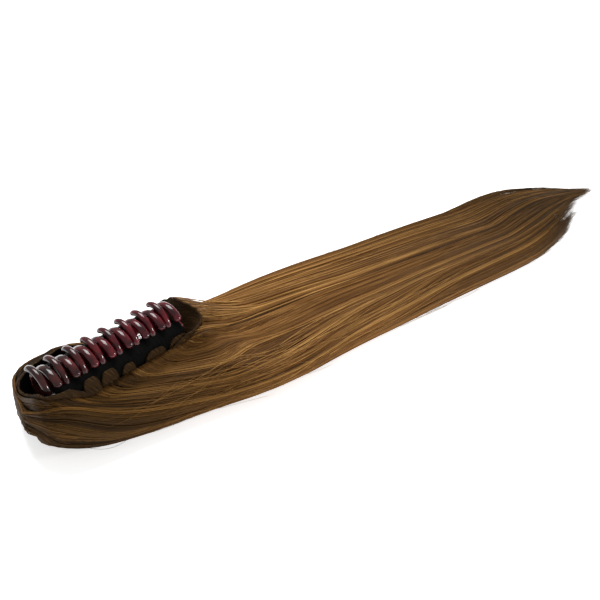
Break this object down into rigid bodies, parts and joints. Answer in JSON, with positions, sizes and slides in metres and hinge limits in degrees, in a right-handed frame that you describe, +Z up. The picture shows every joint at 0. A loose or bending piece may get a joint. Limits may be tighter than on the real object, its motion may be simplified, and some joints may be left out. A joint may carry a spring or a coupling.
{
  "type": "ponytail hairpiece",
  "caption": "Long straight ponytail of brown hair looped round a toothed claw clip with a lined net and a sewn weft edge, lying with the clip's teeth up.",
  "frame": {"origin": "on the surface that the hair rests on, under the middle of the claw clip", "axes": "+X along the claw clip towards the tips of the hair, +Y across it to the far side, +Z up from the surface"},
  "size_m": [0.5615, 0.1598, 0.0574],
  "materials": {
    "claw_plastic": "polished translucent burgundy and brown plastic",
    "steel": "drawn spring steel",
    "black_net": "fine black net",
    "brown_weft": "stitched brown weft",
    "brown_hair": "smooth straight light brown hair with a soft shine"
  },
  "bodies": {
    "hairpiece": {"hair_near_wall": "brown_hair", "hair_far_wall": "brown_hair", "hair_under_clip": "brown_hair", "hair_tail": "brown_hair", "near_jaw": "claw_plastic", "near_net": "black_net", "hinge_pin": "steel", "weft_band": "brown_weft", "weft_tab_1": "brown_weft", "weft_tab_2": "brown_weft", "weft_tab_3": "brown_weft", "weft_tab_4": "brown_weft", "weft_tab_5": "brown_weft"},
    "opening_jaw": {"far_jaw": "claw_plastic", "far_net": "black_net"}
  },
  "joints": [
    {"name": "jaw_hinge", "type": "hinge", "parent": "hairpiece", "child": "opening_jaw", "pos_m": [0, 0, 0.025], "axis": [-1, 0, 0], "range_deg": [0, 55], "stiffness_Nm_per_rad": 0.05, "springref_deg": -20.05}
  ]
}
